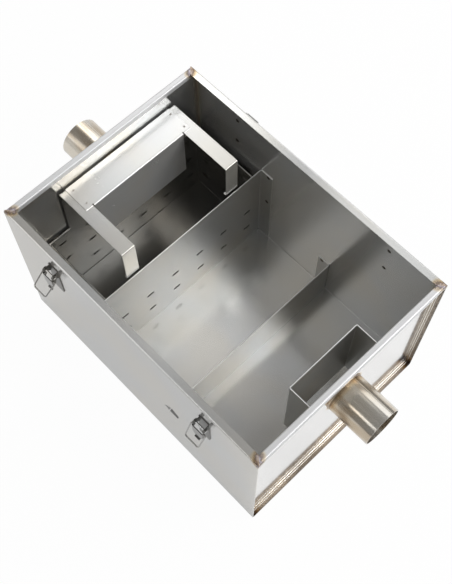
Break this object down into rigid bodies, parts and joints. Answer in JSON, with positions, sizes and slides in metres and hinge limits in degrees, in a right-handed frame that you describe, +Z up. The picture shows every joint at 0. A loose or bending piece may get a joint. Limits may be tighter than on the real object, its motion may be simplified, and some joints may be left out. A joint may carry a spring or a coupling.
{
  "type": "grease trap",
  "caption": "Open grease trap in folded stainless sheet, with a lift-out basket under an inlet hood, baffles, an outlet box, stub pipes and toggle latches for a lid.",
  "frame": {"origin": "middle of the tank's base, on the surface it stands on", "axes": "+X from the inlet end to the outlet end, +Y to the far side, +Z up"},
  "size_m": [0.624, 0.421, 0.299],
  "materials": {
    "tank_steel": "satin rolled stainless sheet, with heat tint beside the welds",
    "inner_steel": "satin rolled stainless sheet",
    "pipe_steel": "polished stainless tube with a straw heat tint at its root",
    "latch_steel": "bright polished stainless"
  },
  "bodies": {
    "tank": {"tank_wrap": "tank_steel", "inlet_end_panel": "tank_steel", "outlet_end_panel": "tank_steel", "inlet_pipe": "pipe_steel", "outlet_pipe": "pipe_steel", "outlet_box": "inner_steel", "slotted_baffle": "inner_steel", "low_baffle": "inner_steel", "basket": "inner_steel", "hood_panel": "inner_steel", "near_arm": "inner_steel", "far_arm": "inner_steel", "near_inlet_latch_base": "latch_steel", "near_inlet_latch_pin": "latch_steel", "near_outlet_latch_base": "latch_steel", "near_outlet_latch_pin": "latch_steel", "far_inlet_latch_base": "latch_steel", "far_inlet_latch_pin": "latch_steel", "far_outlet_latch_base": "latch_steel", "far_outlet_latch_pin": "latch_steel"},
    "near_inlet_lever": {"near_inlet_latch_lever": "latch_steel"},
    "near_inlet_loop": {"near_inlet_latch_loop": "latch_steel"},
    "near_outlet_lever": {"near_outlet_latch_lever": "latch_steel"},
    "near_outlet_loop": {"near_outlet_latch_loop": "latch_steel"},
    "far_inlet_lever": {"far_inlet_latch_lever": "latch_steel"},
    "far_inlet_loop": {"far_inlet_latch_loop": "latch_steel"},
    "far_outlet_lever": {"far_outlet_latch_lever": "latch_steel"},
    "far_outlet_loop": {"far_outlet_latch_loop": "latch_steel"}
  },
  "joints": [
    {"name": "near_inlet_lever_hinge", "type": "hinge", "parent": "tank", "child": "near_inlet_lever", "pos_m": [-0.15, -0.186, 0.262], "axis": [-1, 0, 0], "range_deg": [0, 90]},
    {"name": "near_outlet_lever_hinge", "type": "hinge", "parent": "tank", "child": "near_outlet_lever", "pos_m": [0.1535, -0.186, 0.262], "axis": [-1, 0, 0], "range_deg": [0, 90]},
    {"name": "far_inlet_lever_hinge", "type": "hinge", "parent": "tank", "child": "far_inlet_lever", "pos_m": [-0.15, 0.186, 0.262], "axis": [1, 0, 0], "range_deg": [0, 90]},
    {"name": "far_outlet_lever_hinge", "type": "hinge", "parent": "tank", "child": "far_outlet_lever", "pos_m": [0.1535, 0.186, 0.262], "axis": [1, 0, 0], "range_deg": [0, 90]},
    {"name": "near_inlet_loop_hinge", "type": "hinge", "parent": "near_inlet_lever", "child": "near_inlet_loop", "pos_m": [-0.15, -0.189, 0.254], "axis": [-1, 0, 0], "range_deg": [-37, 68]},
    {"name": "near_outlet_loop_hinge", "type": "hinge", "parent": "near_outlet_lever", "child": "near_outlet_loop", "pos_m": [0.1535, -0.189, 0.254], "axis": [-1, 0, 0], "range_deg": [-18, 87]},
    {"name": "far_inlet_loop_hinge", "type": "hinge", "parent": "far_inlet_lever", "child": "far_inlet_loop", "pos_m": [-0.15, 0.189, 0.254], "axis": [1, 0, 0], "range_deg": [-37, 68]},
    {"name": "far_outlet_loop_hinge", "type": "hinge", "parent": "far_outlet_lever", "child": "far_outlet_loop", "pos_m": [0.1535, 0.189, 0.254], "axis": [1, 0, 0], "range_deg": [-18, 87]}
  ]
}
